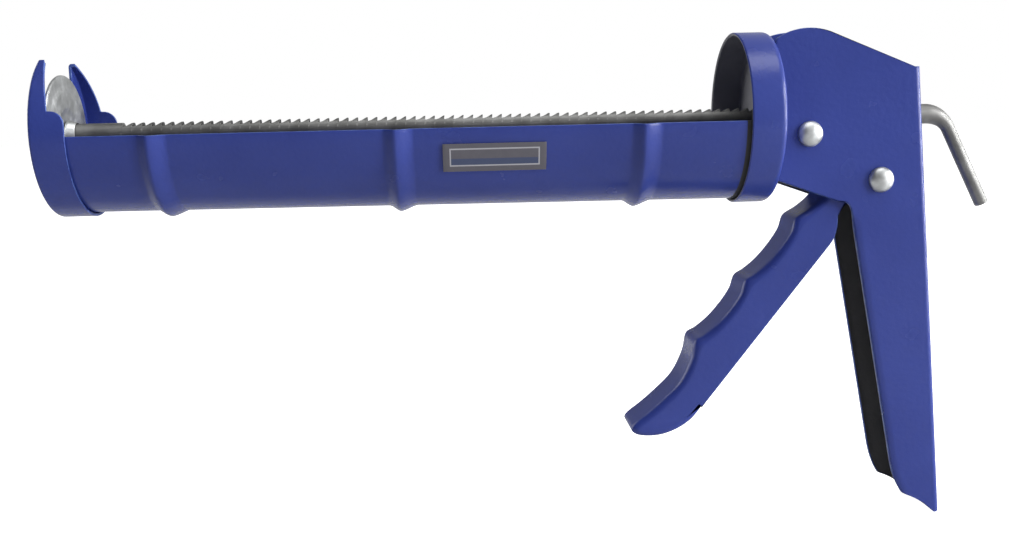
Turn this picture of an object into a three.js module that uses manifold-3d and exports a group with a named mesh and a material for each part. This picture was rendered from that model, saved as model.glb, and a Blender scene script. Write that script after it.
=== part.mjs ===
// A caulking gun for 300 ml cartridges: a half-barrel cradle, a toothed rod that a trigger and
// pawl push forward, and a sheet-steel channel for a handle.
//
// Millimetres. X runs back along the rod, Y across, Z up. The origin is on the rod's axis, at the
// flat front end of the rod when it is fully forward. The near side is -Y.
import * as THREE from "three";
import { mergeVertices } from "three/addons/utils/BufferGeometryUtils.js";
import Module from "manifold-3d";

const wasm = await Module();
wasm.setup();

// ---------------------------------------------------------------- driving dimensions
const GAP = 0.3; // between pieces that touch or run in one another
const SHEET = 1.3; // handle and trigger
const AROUND = 40; // facets round the barrel
const AROUND_SMALL = 16; // facets round rivets, pins and the rod
const CLEAR = 40; // how far a cutter reaches past the barrel and the handle

const rod = {
  radius: 3.175,
  headRadius: 5,
  headLength: 0.8,
  neckRadius: 2.4,
  shoulderX: 2.5,
  bendStart: 276.3,
  bendRadius: 9,
  bendAngle: THREE.MathUtils.degToRad(64),
  length: 313.9,
  legRadius: 2.15,
  chamfer: 0.5,
};
const teeth = { start: 20, end: 264, pitch: 3.05, depth: 1.2, lean: 0.25, floor: 0.7 };

const plunger = { front: 1.0, thickness: 1.2, radius: 18.3, dish: 0.5, dishRadius: 12 };
const hub = { radius: 4.3, length: 3 };

const cap = { front: -0.5, plate: 1.2, rim: 0.9, radius: 25.9, back: 10, slotHalf: 13, seatRadius: 20 };
// A horn's rear edge falls in a curve from its tip to a step, and a round shoulder ends the step.
const horn = { tip: [1.5, 23], waist: [4.2, 15.5], step: [5.1, 7], shoulderX: 6, shoulderRadius: 4 };

// The cradle widens a little from the front cap to the cup, and its free edges are below the axis.
const cradle = { front: 3.2, frontRadius: 24.6, backRadius: 25.7, edge: -0.5, sheet: 0.6 };
const beads = { at: [33.7, 106, 180.5], height: 1.9, before: 3.6, after: 5.4 };

const cup = { front: 212.7, back: 223.6, radius: 27, sheet: 1, fillet: 2, innerFillet: 1 };

const handle = {
  half: 11.5,
  bend: 2.2,
  front: cup.back + GAP,
  topRadius: 19,
  topX: 234.4,
  topZ: 27.4,
  slope: THREE.MathUtils.degToRad(22.3),
  rearTop: [269.9, 15.0],
  rearTip: [280.8, -130.9],
  rodHole: [262, 285],
};

const guide = { x: 235, z: -5.3, shank: 1.9 };
const pivot = { x: 258, z: -20.2, shank: 2.5 };
const rivetHead = { radius: 4.05, height: 2.4, clinchRadius: 3.7, clinchHeight: 1.6 };
const washer = { radius: 6, thickness: 0.6 };

const trigger = { half: 9.2, lobe: 7.2, pawlLobe: 4.3 };
const bushRadius = 4.3;

// The pawl's pin stands this far from the pivot, so that half of its travel lies each side of
// the top of its circle.
const pawlArm = 10;
const pawlAngle = THREE.MathUtils.degToRad(75);
const pawl = {
  x: pivot.x + pawlArm * Math.cos(pawlAngle),
  z: pivot.z + pawlArm * Math.sin(pawlAngle),
  pin: 1.9,
  lobe: 3.8,
  half: 2.8,
  tipX: 250.6,
  tipZ: -3.9,
};
const springEye = { x: 243.4, y: -5.6, z: -21.8, radius: 1.4, tilt: THREE.MathUtils.degToRad(63) };
const label = { from: 120, to: 151, thickness: 0.25, high: 12, low: 32 };

// ---------------------------------------------------------------- helpers
const INTO_X = new THREE.Matrix4().makeBasis(
  new THREE.Vector3(0, 1, 0),
  new THREE.Vector3(0, 0, 1),
  new THREE.Vector3(1, 0, 0),
);
const INTO_Y = new THREE.Matrix4().makeBasis(
  new THREE.Vector3(1, 0, 0),
  new THREE.Vector3(0, 0, 1),
  new THREE.Vector3(0, -1, 0),
);

function solid(geometry) {
  const bare = geometry.index ? geometry.clone() : geometry;
  bare.deleteAttribute("normal");
  bare.deleteAttribute("uv");
  const merged = mergeVertices(bare, 1e-4);
  return new wasm.Manifold(
    new wasm.Mesh({
      numProp: 3,
      vertProperties: new Float32Array(merged.attributes.position.array),
      triVerts: new Uint32Array(merged.index.array),
    }),
  );
}

function geometryOf(manifold) {
  const mesh = manifold.getMesh();
  const geometry = new THREE.BufferGeometry();
  geometry.setAttribute("position", new THREE.BufferAttribute(mesh.vertProperties, 3));
  geometry.setIndex(new THREE.BufferAttribute(mesh.triVerts, 1));
  geometry.computeVertexNormals();
  return geometry;
}

const cut = (body, ...tools) => tools.reduce((left, tool) => left.subtract(tool), body);
const vectors = (pairs) => pairs.map(([a, b]) => new THREE.Vector2(a, b));
const outline = (pairs) => new THREE.Shape(vectors(pairs));

// A shape drawn in X and Z, extruded across from -half to +half, or from low to high.
function across(shape, low, high, curveSegments = 12) {
  const options = { depth: high - low, bevelEnabled: false, curveSegments };
  return new THREE.ExtrudeGeometry(shape, options).applyMatrix4(INTO_Y).translate(0, high, 0);
}

// A shape drawn in Y and Z, extruded along X.
function along(shape, from, to, curveSegments = 16) {
  const options = { depth: to - from, bevelEnabled: false, curveSegments };
  return new THREE.ExtrudeGeometry(shape, options).applyMatrix4(INTO_X).translate(from, 0, 0);
}

// A profile of [x, radius] pairs turned about the X axis.
function turned(pairs, segments = AROUND) {
  const points = pairs.map(([x, radius]) => new THREE.Vector2(radius, x));
  return new THREE.LatheGeometry(points, segments).rotateZ(-Math.PI / 2);
}

// A profile of [y, radius] pairs turned about an axis along Y through (x, z).
function turnedAcross(pairs, x, z, segments = AROUND_SMALL) {
  const points = pairs.map(([y, radius]) => new THREE.Vector2(radius, y));
  return new THREE.LatheGeometry(points, segments).translate(x, 0, z);
}

const pinAcross = (x, z, radius, half, segments = AROUND_SMALL) =>
  turnedAcross([[-half, 0], [-half, radius], [half, radius], [half, 0]], x, z, segments);

const tubeAcross = (x, z, inner, outer, low, high, segments = AROUND_SMALL) =>
  turnedAcross(
    [[low, inner], [low, outer], [high, outer], [high, inner], [low, inner]], x, z, segments,
  );

// A round wire along a curve.
function wire(points, radius, steps, sides = 6) {
  const section = new THREE.Shape();
  for (let i = 0; i < sides; i += 1) {
    const a = (2 * Math.PI * i) / sides;
    const p = [radius * Math.cos(a), radius * Math.sin(a)];
    if (i === 0) section.moveTo(...p);
    else section.lineTo(...p);
  }
  const path = new THREE.CatmullRomCurve3(points.map((p) => new THREE.Vector3(...p)));
  return new THREE.ExtrudeGeometry(section, { steps, extrudePath: path, bevelEnabled: false });
}

// The same line moved to its left by a distance.
function offsetLine(points, distance) {
  return points.map((point, i) => {
    const before = points[Math.max(i - 1, 0)];
    const after = points[Math.min(i + 1, points.length - 1)];
    const run = new THREE.Vector2().subVectors(after, before).normalize();
    return new THREE.Vector2(point.x - run.y * distance, point.y + run.x * distance);
  });
}

const paint = new THREE.MeshStandardMaterial({ color: 0x2f3d8f, roughness: 0.35, metalness: 0.1 });
const zinc = new THREE.MeshStandardMaterial({ color: 0x9a9c98, roughness: 0.4, metalness: 0.9 });
const plated = new THREE.MeshStandardMaterial({ color: 0xb9bab6, roughness: 0.45, metalness: 0.8 });
const darkSteel = new THREE.MeshStandardMaterial({ color: 0x55565a, roughness: 0.5, metalness: 0.9 });
const sticker = new THREE.MeshStandardMaterial({ color: 0x6d7078, roughness: 0.5, metalness: 0 });

const gun = new THREE.Group();

function add(name, geometry, material) {
  const mesh = new THREE.Mesh(geometry, material);
  mesh.name = name;
  gun.add(mesh);
}

// ---------------------------------------------------------------- barrel
// Height of the barrel's skin over its plain radius, at the corners of each bead.
function beadCorners() {
  const { height, before, after } = beads;
  const rise = [
    [-before, 0],
    [-0.5, height * 0.92],
    [0.15, height],
    [0.9, height * 0.86],
    [after, 0],
  ];
  return beads.at.flatMap((x) => rise.map(([dx, dr]) => [x + dx, dr]));
}

const cradleBack = cup.back - cup.sheet - cup.innerFillet - GAP;

// The barrel's outer radius at X, away from the beads.
function skinRadius(x) {
  const share = (x - cradle.front) / (cradleBack - cradle.front);
  return THREE.MathUtils.lerp(cradle.frontRadius, cradle.backRadius, share);
}

function makeCradle() {
  const corners = [[cradle.front, 0], ...beadCorners(), [cradleBack, 0]];
  const outside = corners.map(([x, dr]) => [x, skinRadius(x) + dr]);
  const inside = outside.map(([x, radius]) => [x, radius - cradle.sheet]).reverse();
  const tube = solid(turned([...inside, ...outside, inside[0]]));
  const over = new THREE.BoxGeometry(cradleBack + CLEAR, 2 * CLEAR, CLEAR);
  const upper = solid(over.translate(cradleBack / 2, 0, cradle.edge + CLEAR / 2));
  return geometryOf(cut(tube, upper));
}

function makeFrontCap() {
  const face = cap.front + cap.plate;
  const corner = 1;
  const emboss = 0.15;
  const profile = [
    [cap.front, 0],
    [cap.front, cap.radius - corner],
    [cap.front + corner * 0.3, cap.radius - corner * 0.3],
    [cap.front + corner, cap.radius],
    [cap.back, cap.radius],
    [cap.back, cap.radius - cap.rim],
    [face, cap.radius - cap.rim],
    [face, cap.seatRadius],
    [face - emboss, cap.seatRadius],
    [face - emboss, 0],
  ];
  const slot = new THREE.Shape();
  slot.moveTo(-cap.slotHalf, CLEAR);
  slot.lineTo(-cap.slotHalf, 0);
  slot.absarc(0, 0, cap.slotHalf, Math.PI, 2 * Math.PI, false);
  slot.lineTo(cap.slotHalf, CLEAR);
  const relief = new THREE.Shape();
  const rimTop = horn.step[1] - horn.shoulderRadius;
  relief.moveTo(...horn.step);
  relief.lineTo(horn.shoulderX, horn.step[1]);
  relief.absarc(horn.shoulderX, rimTop, horn.shoulderRadius, Math.PI / 2, 0, true);
  relief.lineTo(2 * cap.back, rimTop);
  relief.lineTo(2 * cap.back, CLEAR);
  relief.lineTo(horn.tip[0], CLEAR);
  relief.lineTo(...horn.tip);
  relief.quadraticCurveTo(...horn.waist, ...horn.step);
  return geometryOf(
    cut(
      solid(turned(profile)),
      solid(along(slot, cap.front - 1, cap.back + 1)),
      solid(across(relief, -CLEAR, CLEAR, 5)),
    ),
  );
}

function makeRearCup() {
  const { front, back, radius, sheet, fillet, innerFillet } = cup;
  const hole = rod.radius + 0.4;
  const inner = radius - sheet;
  return turned([
    [back, hole],
    [back - sheet, hole],
    [back - sheet, inner - innerFillet],
    [back - sheet - innerFillet, inner],
    [front, inner],
    [front, radius],
    [back - fillet, radius],
    [back - fillet * 0.3, radius - fillet * 0.3],
    [back, radius - fillet],
    [back, hole],
  ]);
}

// ---------------------------------------------------------------- handle
// The side plates' outline, from the cup round the head and down to the tip of the grip.
function handleOutline() {
  const { front, topX, topZ, topRadius, slope, rearTop, rearTip } = handle;
  const centre = topZ - topRadius;
  const shape = new THREE.Shape();
  shape.moveTo(front, -19.4);
  shape.lineTo(front, 0);
  shape.absarc(topX, centre, topRadius, Math.acos((front - topX) / topRadius), Math.PI / 2 - slope, true);
  shape.lineTo(...rearTop);
  shape.lineTo(...rearTip);
  shape.lineTo(272.8, -125.8);
  shape.lineTo(268.2, -124.2);
  shape.quadraticCurveTo(264.8, -119.5, 263.5, -111);
  shape.lineTo(249.0, -30.0);
  shape.quadraticCurveTo(248.4, -26.7, 244.6, -26.8);
  shape.lineTo(226.2, -20.2);
  return shape;
}

// A U-shaped channel, open towards -X, whose bends have an outer and an inner radius.
function channel(half, sheet, bend, depth, length) {
  const section = new THREE.Shape();
  const innerBend = Math.max(bend - sheet, 0.2);
  section.moveTo(-depth, -half);
  section.lineTo(-bend, -half);
  section.absarc(-bend, -half + bend, bend, -Math.PI / 2, 0, false);
  section.lineTo(0, half - bend);
  section.absarc(-bend, half - bend, bend, 0, Math.PI / 2, false);
  section.lineTo(-depth, half);
  section.lineTo(-depth, half - sheet);
  section.lineTo(-sheet - innerBend, half - sheet);
  section.absarc(-sheet - innerBend, half - sheet - innerBend, innerBend, Math.PI / 2, 0, true);
  section.lineTo(-sheet, -half + sheet + innerBend);
  section.absarc(-sheet - innerBend, -half + sheet + innerBend, innerBend, 0, -Math.PI / 2, true);
  section.lineTo(-depth, -half + sheet);
  const options = { depth: length, bevelEnabled: false, curveSegments: 4 };
  return new THREE.ExtrudeGeometry(section, options);
}

function makeHandle() {
  const { half, bend, rearTop, rearTip } = handle;
  const fall = rearTop[1] - rearTip[1];
  const lean = Math.atan2(rearTip[0] - rearTop[0], fall);
  const bent = channel(half, SHEET, bend, 2 * CLEAR, fall + CLEAR);
  bent.translate(0, 0, -fall - CLEAR / 2).rotateY(-lean).translate(rearTop[0], 0, rearTop[1]);
  const plates = solid(across(handleOutline(), -half - 1, half + 1, 10));
  const [from, to] = handle.rodHole;
  const bore = rod.radius + 0.4;
  return geometryOf(
    cut(
      solid(bent).intersect(plates),
      solid(pinAcross(guide.x, guide.z, guide.shank + GAP, CLEAR)),
      solid(pinAcross(pivot.x, pivot.z, pivot.shank + GAP, CLEAR)),
      solid(turned([[from, 0], [from, bore], [to, bore], [to, 0]], 20)),
    ),
  );
}

// A rivet across the handle: a domed head on the near side and a low clinch on the far side.
function makeRivet({ x, z, shank }) {
  const near = -(handle.half + GAP);
  const far = handle.half + GAP;
  const { radius, height, clinchRadius, clinchHeight } = rivetHead;
  const dome = [0, 0.26, 0.5, 0.72, 0.9].map((share) => {
    const angle = (share * Math.PI) / 2;
    return [near - height * Math.cos(angle), radius * Math.sin(angle)];
  });
  return turnedAcross(
    [
      ...dome,
      [near, radius],
      [near, shank],
      [far, shank],
      [far, clinchRadius],
      [far + clinchHeight * 0.6, clinchRadius * 0.85],
      [far + clinchHeight, clinchRadius * 0.45],
      [far + clinchHeight, 0],
    ],
    x,
    z,
  );
}

function makeWasher(side) {
  const middle = (trigger.half + handle.half - SHEET) / 2;
  const low = side * middle - washer.thickness / 2;
  const inner = pivot.shank + GAP;
  return tubeAcross(pivot.x, pivot.z, inner, washer.radius, low, low + washer.thickness);
}

function makeHoldingCatch() {
  const thickness = 0.6;
  const spine = vectors([[269.8, -16], [269.4, -9.2], [268.5, -7.2], [266.1, -5.4], [263.3, -4.2]]);
  const other = offsetLine(spine, -thickness).reverse();
  return across(new THREE.Shape([...spine, ...other]), -4, 4);
}

// A tension coil beside the rod, between the guide rivet and the eye in the trigger's web.
function makeReturnSpring() {
  const top = new THREE.Vector3(guide.x, springEye.y, guide.z);
  const bottom = new THREE.Vector3(springEye.x, springEye.y, springEye.z);
  const axis = new THREE.Vector3().subVectors(bottom, top).normalize();
  const side = new THREE.Vector3(0, 1, 0);
  const third = new THREE.Vector3().crossVectors(axis, side);
  const coil = { radius: 1.9, turns: 7, from: 4.6, to: 13.6, perTurn: 8 };
  const points = [];
  const hook = guide.shank + 0.75;
  for (let i = 0; i <= 5; i += 1) {
    const angle = Math.PI * (1.45 - (1.15 * i) / 5);
    points.push(
      top
        .clone()
        .addScaledVector(axis, -hook * Math.sin(angle - Math.PI / 2))
        .addScaledVector(third, hook * Math.cos(angle - Math.PI / 2)),
    );
  }
  for (let i = 0; i <= coil.turns * coil.perTurn; i += 1) {
    const share = i / (coil.turns * coil.perTurn);
    const angle = 2 * Math.PI * coil.turns * share;
    points.push(
      top
        .clone()
        .addScaledVector(axis, coil.from + (coil.to - coil.from) * share)
        .addScaledVector(side, coil.radius * Math.sin(angle))
        .addScaledVector(third, coil.radius * Math.cos(angle)),
    );
  }
  points.push(bottom.clone().addScaledVector(axis, -2.2).addScaledVector(third, 0.6));
  points.push(bottom.clone().addScaledVector(axis, -0.4));
  return wire(points.map((p) => p.toArray()), 0.4, coil.turns * coil.perTurn + 12, 5);
}

// ---------------------------------------------------------------- trigger
const bumps = vectors([[232.2, -32.3], [215.9, -52.1], [199.6, -71.5]]);

// A finger groove from one bump down to the next: deep under the upper bump, then shallower.
function groove(upper, lower) {
  const chord = new THREE.Vector2().subVectors(lower, upper);
  const inward = new THREE.Vector2(-chord.y, chord.x).normalize();
  return [[0.18, 1.7], [0.42, 2.3], [0.66, 2.1], [0.86, 1.1]].map(([share, depth]) =>
    upper.clone().addScaledVector(chord, share).addScaledVector(inward, depth),
  );
}

function gripLine() {
  const line = new THREE.SplineCurve([
    ...vectors([[244.6, -19.2], [242.8, -22.8], [240.3, -26.4], [236.4, -29.6]]),
    bumps[0],
    ...groove(bumps[0], bumps[1]),
    bumps[1],
    ...groove(bumps[1], bumps[2]),
    bumps[2],
    ...vectors([[198.3, -77.4], [194.6, -84.9], [188.8, -90.8], [183.9, -95.0], [179.8, -98.2]]),
  ]);
  return line.getPoints(38);
}

function makeTrigger() {
  const front = gripLine();
  // The web wraps round the tip, up to where the side plates' straight rear edge begins.
  const tip = vectors([
    [178.5, -100.2], [180.6, -101.9], [185.4, -102.4], [190.0, -101.7], [194.6, -99.8], [198.6, -96.9],
    [201.7, -93.1],
  ]);
  const web = [...front, ...tip];
  const shape = new THREE.Shape(web);
  shape.lineTo(242.9, -40.9);
  shape.quadraticCurveTo(245.6, -37.4, 245.3, -31.6);
  shape.lineTo(247.6, -27.6);
  shape.lineTo(pivot.x, pivot.z - trigger.lobe);
  shape.absarc(pivot.x, pivot.z, trigger.lobe, -Math.PI / 2, 0.12, false);
  shape.absarc(pawl.x, pawl.z, trigger.pawlLobe, 0.12, Math.PI * 0.72, false);
  const hollow = [
    ...offsetLine(web, SHEET),
    ...vectors([[300, -92], [300, 30], [244.6 + SHEET, 30]]),
  ];
  const inside = trigger.half - SHEET;
  const bent = cut(
    solid(across(shape, -trigger.half, trigger.half, 8)),
    solid(across(new THREE.Shape(hollow), -inside, inside)),
    solid(pinAcross(pivot.x, pivot.z, pivot.shank + GAP, CLEAR)),
    solid(pinAcross(pawl.x, pawl.z, pawl.pin + GAP, CLEAR)),
  );
  const eye = new THREE.CylinderGeometry(springEye.radius, springEye.radius, 6, 12);
  eye.rotateX(Math.PI / 2).rotateY(-springEye.tilt);
  eye.translate(springEye.x, springEye.y, springEye.z);
  return geometryOf(cut(bent, solid(eye)));
}

function makePawl() {
  const shape = new THREE.Shape();
  shape.moveTo(pawl.tipX, pawl.tipZ);
  shape.lineTo(pawl.tipX - 1.2, pawl.tipZ - 0.7);
  shape.lineTo(pawl.tipX - 1.0, pawl.tipZ - 2.4);
  shape.lineTo(pawl.x - 3.2, pawl.z - 2.1);
  shape.absarc(pawl.x, pawl.z, pawl.lobe, Math.PI * 1.19, Math.PI * 2.58, false);
  shape.lineTo(pawl.tipX + 3.2, pawl.tipZ - 1.2);
  const bore = solid(pinAcross(pawl.x, pawl.z, pawl.pin + GAP, CLEAR));
  return geometryOf(cut(solid(across(shape, -pawl.half, pawl.half, 8)), bore));
}

// A torsion spring on the pawl's pin: one leg on the trigger's web, one under the pawl.
function makePawlSpring() {
  const coil = { radius: 3.1, turns: 3, from: -6.9, to: -4.1, perTurn: 12 };
  const points = [[pawl.x - 13, coil.from, pawl.z - 9.2], [pawl.x - 8, coil.from, pawl.z - 5.6]];
  const start = Math.PI * 1.15;
  for (let i = 0; i <= coil.turns * coil.perTurn; i += 1) {
    const share = i / (coil.turns * coil.perTurn);
    const angle = start + 2 * Math.PI * coil.turns * share;
    points.push([
      pawl.x + coil.radius * Math.cos(angle),
      coil.from + (coil.to - coil.from) * share,
      pawl.z + coil.radius * Math.sin(angle),
    ]);
  }
  return wire(points, 0.4, points.length + 4);
}

// ---------------------------------------------------------------- rod and plunger
// Everything behind the start of the bend is rolled down round the bend's centre.
function bendDown(geometry) {
  const { bendStart, bendRadius, bendAngle } = rod;
  const place = geometry.attributes.position;
  for (let i = 0; i < place.count; i += 1) {
    const run = place.getX(i) - bendStart;
    if (run <= 0) continue;
    const angle = Math.min(run / bendRadius, bendAngle);
    const rest = run - angle * bendRadius;
    const arm = bendRadius + place.getZ(i);
    place.setX(i, bendStart + arm * Math.sin(angle) + rest * Math.cos(angle));
    place.setZ(i, -bendRadius + arm * Math.cos(angle) - rest * Math.sin(angle));
  }
  return geometry;
}

// The saw-shaped cutter: each notch rises gently towards the back and ends in a steep face that
// looks backwards.
function sawCutter() {
  const clear = rod.radius + 0.5;
  const floor = rod.radius - teeth.depth;
  const points = [[teeth.start, clear], [teeth.start, rod.radius + 0.05]];
  for (let x = teeth.start; x < teeth.end - teeth.pitch / 2; x += teeth.pitch) {
    points.push([x - teeth.lean, floor]);
    points.push([x + teeth.floor, floor]);
    points.push([x + teeth.pitch, rod.radius + 0.05]);
  }
  points.push([points.at(-1)[0], clear]);
  return across(outline(points), -rod.radius - 1, rod.radius + 1);
}

function makeRod() {
  const bendEnd = rod.bendStart + rod.bendRadius * rod.bendAngle;
  const steps = 8;
  const bend = [];
  for (let i = 0; i <= steps; i += 1) {
    const share = i / steps;
    const x = rod.bendStart + (bendEnd - rod.bendStart) * share;
    bend.push([x, THREE.MathUtils.lerp(rod.radius, rod.legRadius, share)]);
  }
  const bar = turned(
    [
      [0, 0],
      [0, rod.headRadius],
      [rod.headLength, rod.headRadius],
      [rod.headLength, rod.neckRadius],
      [rod.shoulderX, rod.neckRadius],
      [rod.shoulderX, rod.radius],
      ...bend,
      [rod.length - rod.chamfer, rod.legRadius],
      [rod.length, rod.legRadius - rod.chamfer],
      [rod.length, 0],
    ],
    AROUND_SMALL,
  );
  return geometryOf(cut(solid(bendDown(bar)), solid(sawCutter())));
}

function makePlungerPlate() {
  const { front, thickness, radius, dish, dishRadius } = plunger;
  const bore = rod.neckRadius + GAP;
  const back = front + thickness;
  return turned([
    [front, bore],
    [front, radius - 0.4],
    [front + 0.4, radius],
    [back, radius],
    [back, dishRadius + 2],
    [back + dish, dishRadius],
    [back + dish, 8],
    [back, 6],
    [back, bore],
    [front, bore],
  ]);
}

function makePlungerHub() {
  const from = plunger.front + plunger.thickness + GAP;
  const bore = rod.radius + GAP;
  const to = from + hub.length;
  return turned(
    [[from, bore], [from, hub.radius], [to - 0.8, hub.radius], [to, hub.radius - 0.8], [to, bore],
      [from, bore]],
    24,
  );
}

function makeLabel() {
  const radius = skinRadius(label.to) + GAP;
  const section = new THREE.Shape();
  const high = Math.PI + THREE.MathUtils.degToRad(label.high);
  const low = Math.PI + THREE.MathUtils.degToRad(label.low);
  section.absarc(0, 0, radius, high, low, false);
  section.absarc(0, 0, radius + label.thickness, low, high, true);
  return along(section, label.from, label.to, 6);
}

// ---------------------------------------------------------------- the gun
add("cradle", makeCradle(), paint);
add("front_cap", makeFrontCap(), paint);
add("rear_cup", makeRearCup(), paint);
add("handle", makeHandle(), paint);
add("guide_rivet", makeRivet(guide), plated);
add("pivot_rivet", makeRivet(pivot), plated);
const bushHalf = trigger.half - SHEET - GAP;
add("pivot_bush", tubeAcross(pivot.x, pivot.z, pivot.shank + GAP, bushRadius, -bushHalf, bushHalf), plated);
add("pivot_washer_near", makeWasher(-1), plated);
add("pivot_washer_far", makeWasher(1), plated);
add("holding_catch", makeHoldingCatch(), darkSteel);
add("return_spring", makeReturnSpring(), darkSteel);
add("label", makeLabel(), sticker);

add("trigger", makeTrigger(), paint);
add("pawl_pin", pinAcross(pawl.x, pawl.z, pawl.pin, trigger.half), plated);
add(
  "pawl_spacer",
  tubeAcross(pawl.x, pawl.z, pawl.pin + GAP, pawl.pin + 1.6, pawl.half + GAP, bushHalf),
  plated,
);
add("pawl_spring", makePawlSpring(), darkSteel);
add("pawl", makePawl(), darkSteel);

add("plunger_plate", makePlungerPlate(), plated);
add("plunger_hub", makePlungerHub(), plated);
add("rod", makeRod(), zinc);

export default gun;
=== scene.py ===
"""The looks of a hand caulking gun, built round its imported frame.

Sizes in this file are millimetres until a mesh is made; X runs back along the rod, Y across and
Z up, with the origin at the front end of the rod.
"""
import math

import bmesh
import bpy
import numpy as np
from mathutils import Matrix, Vector


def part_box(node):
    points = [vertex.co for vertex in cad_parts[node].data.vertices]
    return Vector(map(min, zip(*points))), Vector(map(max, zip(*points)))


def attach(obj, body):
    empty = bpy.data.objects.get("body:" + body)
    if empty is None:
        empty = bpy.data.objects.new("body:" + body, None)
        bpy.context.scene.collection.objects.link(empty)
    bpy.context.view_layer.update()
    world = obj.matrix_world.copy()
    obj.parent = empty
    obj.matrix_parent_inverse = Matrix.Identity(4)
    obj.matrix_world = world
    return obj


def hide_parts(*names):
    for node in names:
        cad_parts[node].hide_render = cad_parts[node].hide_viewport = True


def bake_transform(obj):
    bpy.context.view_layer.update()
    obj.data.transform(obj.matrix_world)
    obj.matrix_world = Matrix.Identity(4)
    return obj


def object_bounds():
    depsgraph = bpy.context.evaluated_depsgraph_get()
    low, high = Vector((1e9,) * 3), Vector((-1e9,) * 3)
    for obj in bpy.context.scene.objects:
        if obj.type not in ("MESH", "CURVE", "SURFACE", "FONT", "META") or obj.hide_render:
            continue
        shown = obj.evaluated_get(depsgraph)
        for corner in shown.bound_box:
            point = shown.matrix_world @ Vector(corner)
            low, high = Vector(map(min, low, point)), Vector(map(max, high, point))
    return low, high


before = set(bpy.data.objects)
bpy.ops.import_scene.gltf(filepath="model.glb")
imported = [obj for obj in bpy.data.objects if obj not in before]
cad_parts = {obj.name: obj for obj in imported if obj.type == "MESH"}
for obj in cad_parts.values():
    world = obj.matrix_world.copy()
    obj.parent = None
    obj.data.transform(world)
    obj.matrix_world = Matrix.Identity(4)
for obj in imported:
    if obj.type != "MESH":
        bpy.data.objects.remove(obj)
CAD_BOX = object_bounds()
MM = 0.001


def span(node):
    """Lowest and highest corner of a CAD node, in millimetres."""
    low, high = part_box(node)
    return np.array(low) / MM, np.array(high) / MM


# ---------------------------------------------------------------- sizes
SHEET = 1.3  # handle and trigger
EDGE = 0.28  # rounding of a painted sheet's edge
ROLL = 2.6  # width of the grip's rolled front edges
ROD_RADIUS = 3.175
SHARP = 32  # degrees: the least fold that shows as a crease
TEETH = {"start": 20.0, "end": 264.0, "pitch": 3.05, "depth": 1.2, "lean": 0.25, "floor": 0.7}
HOOK = {"start": 276.3, "radius": 9.0, "angle": math.radians(64), "length": 313.85, "leg": 2.15}

BEADS = {"at": (33.7, 106.0, 180.5), "height": 1.9, "before": 3.6, "after": 5.4}
CRADLE = {"front_radius": 24.6, "back_radius": 25.7, "sheet": 0.6, "edge": -0.5, "dip": 0.15}

CUP_LOW, CUP_HIGH = span("rear_cup")
CAP_LOW, CAP_HIGH = span("front_cap")
CAP = {"sheet": 0.9, "slot": 13.0, "corner": 1.0}
HORN = {"tip": (1.5, 22.9), "waist": (4.2, 15.5), "step": (5.1, 7.0), "shoulder_x": 6.0}

GUIDE = (235.0, -5.3)
PIVOT = (258.0, -20.2)
PAWL = (260.588, -10.541)
SPRING_EYE = (243.4, -21.8)
HOLE = {"guide": 2.2, "pivot": 2.8, "pawl": 2.2}  # radius of the hole for each pin
HANDLE_HALF = span("handle")[1][1]
TRIGGER_HALF = span("trigger")[1][1]
LABEL_LOW, LABEL_HIGH = span("label")


# ---------------------------------------------------------------- outlines and points
def unit(vectors):
    length = np.linalg.norm(vectors, axis=-1, keepdims=True)
    return vectors / np.maximum(length, 1e-9)


def bezier(a, control, b, steps):
    """Points of a quadratic curve, both ends included."""
    a, control, b = (np.array(p, float) for p in (a, control, b))
    t = np.linspace(0, 1, steps + 1)[:, None]
    return a * (1 - t) ** 2 + control * 2 * t * (1 - t) + b * t**2


def arc(centre, radius, start, end, steps):
    """Points of an arc, angles in degrees from +X towards +Z."""
    angle = np.radians(np.linspace(start, end, steps + 1))
    return np.stack([centre[0] + radius * np.cos(angle), centre[1] + radius * np.sin(angle)], 1)


def rounded(points, radius, steps=4, closed=True):
    """An outline with each corner eased by a curve that starts one radius before it."""
    points = np.array(points, float)
    count = len(points)
    made = []
    for i, corner in enumerate(points):
        if not closed and i in (0, count - 1):
            made.append(corner[None])
            continue
        before, after = points[i - 1] - corner, points[(i + 1) % count] - corner
        reach = min(radius, 0.48 * np.linalg.norm(before), 0.48 * np.linalg.norm(after))
        ends = corner + unit(before) * reach, corner + unit(after) * reach
        made.append(bezier(ends[0], corner, ends[1], steps))
    return np.concatenate(made)


def lengths(line):
    """Distance along a line at each of its points."""
    steps = np.linalg.norm(np.diff(line, axis=0), axis=1)
    return np.concatenate([[0], np.cumsum(steps)])


def resample(line, count):
    """The same line with a number of evenly spaced points."""
    line = np.asarray(line, float)
    run = lengths(line)
    wanted = np.linspace(0, run[-1], count)
    return np.stack([np.interp(wanted, run, line[:, k]) for k in range(line.shape[1])], 1)


def smooth_line(points, per_span=6):
    """A Catmull-Rom line through the points."""
    p = np.array(points, float)
    p = np.concatenate([[2 * p[0] - p[1]], p, [2 * p[-1] - p[-2]]])
    t = np.linspace(0, 1, per_span, endpoint=False)[:, None]
    made = []
    for a, b, c, d in zip(p, p[1:], p[2:], p[3:]):
        made.append(
            0.5 * (2 * b + (c - a) * t + (2 * a - 5 * b + 4 * c - d) * t**2
                   + (3 * b - a - 3 * c + d) * t**3)
        )
    return np.concatenate([*made, p[-2][None]])


def matched(line, keys, values):
    """For each point of a line, a value read between the keys, each the nearest point to a place."""
    run = lengths(line)
    at = [run[np.argmin(np.linalg.norm(line - np.array(key), axis=1))] for key in keys]
    return np.interp(run, at, values)


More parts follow.
